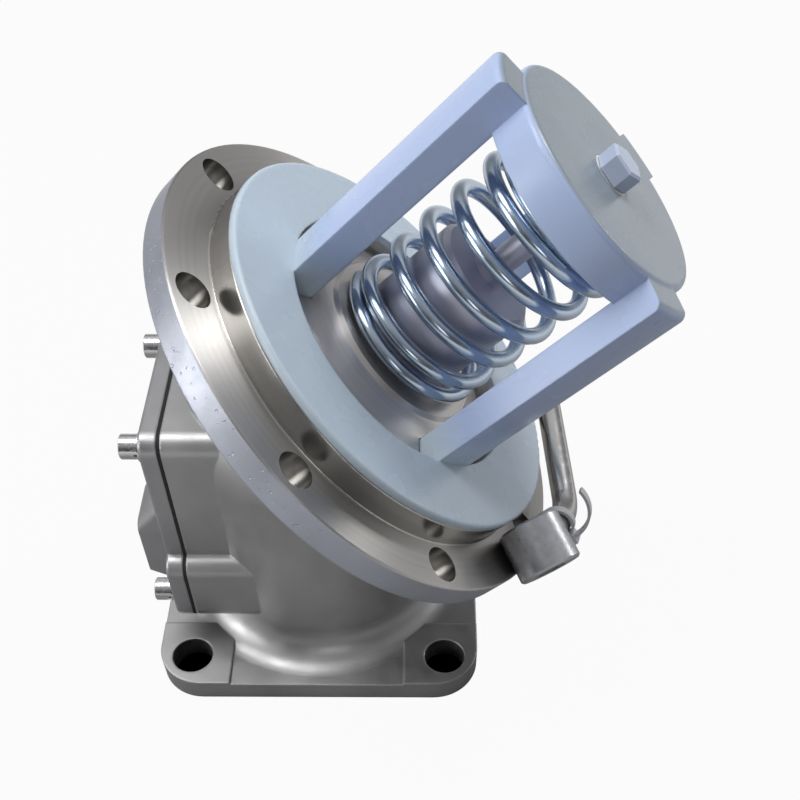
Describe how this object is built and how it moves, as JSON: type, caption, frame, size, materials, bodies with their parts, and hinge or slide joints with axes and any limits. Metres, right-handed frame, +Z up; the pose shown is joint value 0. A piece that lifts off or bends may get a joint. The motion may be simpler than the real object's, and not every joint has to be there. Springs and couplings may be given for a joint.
{
  "type": "angle valve",
  "caption": "Flanged angle valve: square outlet foot, 45 degree bend, round inlet flange with an open guard cage over a spring-loaded poppet, bolted back cover, loose lever.",
  "frame": {"origin": "centre of the outlet flange's bottom face, on the outlet bore axis", "axes": "+Z up along the outlet bore; the inlet axis leans 45 degrees from +Z towards +X, in the plane Y = 0; the back cover faces -X"},
  "size_m": [0.2204, 0.2, 0.2506],
  "materials": {
    "cast_steel": "bead-blasted stainless casting",
    "turned_steel": "turned stainless",
    "bright_steel": "bright plated or stainless fastener",
    "spring_steel": "bright spring wire with a blue cast",
    "joint_rubber": "matt black joint sheet",
    "cage_plastic": "cool white moulded plastic",
    "bearing_plastic": "natural plain bearing plastic",
    "bearing_bronze": "sintered bronze",
    "packing_ptfe": "white braided packing",
    "seal_ptfe": "white soft seal",
    "tie_nylon": "natural nylon",
    "nut_plastic": "white plastic"
  },
  "bodies": {
    "valve": {"valve_body": "cast_steel", "cover_gasket": "joint_rubber", "cover_plate": "cast_steel", "cover_flat_washers": "bright_steel", "cover_spring_washers": "bright_steel", "cover_screws": "bright_steel", "cage": "cage_plastic", "cap_bush": "bearing_plastic", "valve_spring": "spring_steel", "spindle_bush_inner": "bearing_bronze", "spindle_bush_outer": "bearing_bronze", "gland_packing": "packing_ptfe", "gland_nut": "bright_steel", "stem_guide_bush": "bearing_plastic", "handle_bar": "turned_steel", "handle_hub": "turned_steel", "handle_set_screw": "bright_steel", "cable_tie": "tie_nylon"},
    "poppet": {"poppet_disc": "turned_steel", "poppet_seal": "seal_ptfe", "seal_retainer": "turned_steel", "retainer_washer": "bright_steel", "retainer_nut": "bright_steel", "guide_hub": "turned_steel", "stem": "turned_steel", "stem_end_nut": "nut_plastic", "lift_collar": "turned_steel", "collar_pin": "bright_steel"},
    "spindle": {"spindle": "turned_steel", "crank_fork": "cast_steel", "crank_pin": "bright_steel"}
  },
  "joints": [
    {"name": "poppet_lift", "type": "slide", "parent": "valve", "child": "poppet", "axis": [0.7071, 0, 0.7071], "range_m": [0, 0.02], "stiffness_N_per_m": 3000, "springref_m": -0.025, "deforming": ["valve_spring"]},
    {"name": "spindle_turn", "type": "hinge", "parent": "valve", "child": "spindle", "pos_m": [-0.04023, 0, 0.10184], "axis": [0, -1, 0], "range_deg": [0, 42]}
  ],
  "couplings": [
    {"joint": "spindle_turn", "follows": "poppet_lift", "rad_per_m": 36.52}
  ]
}
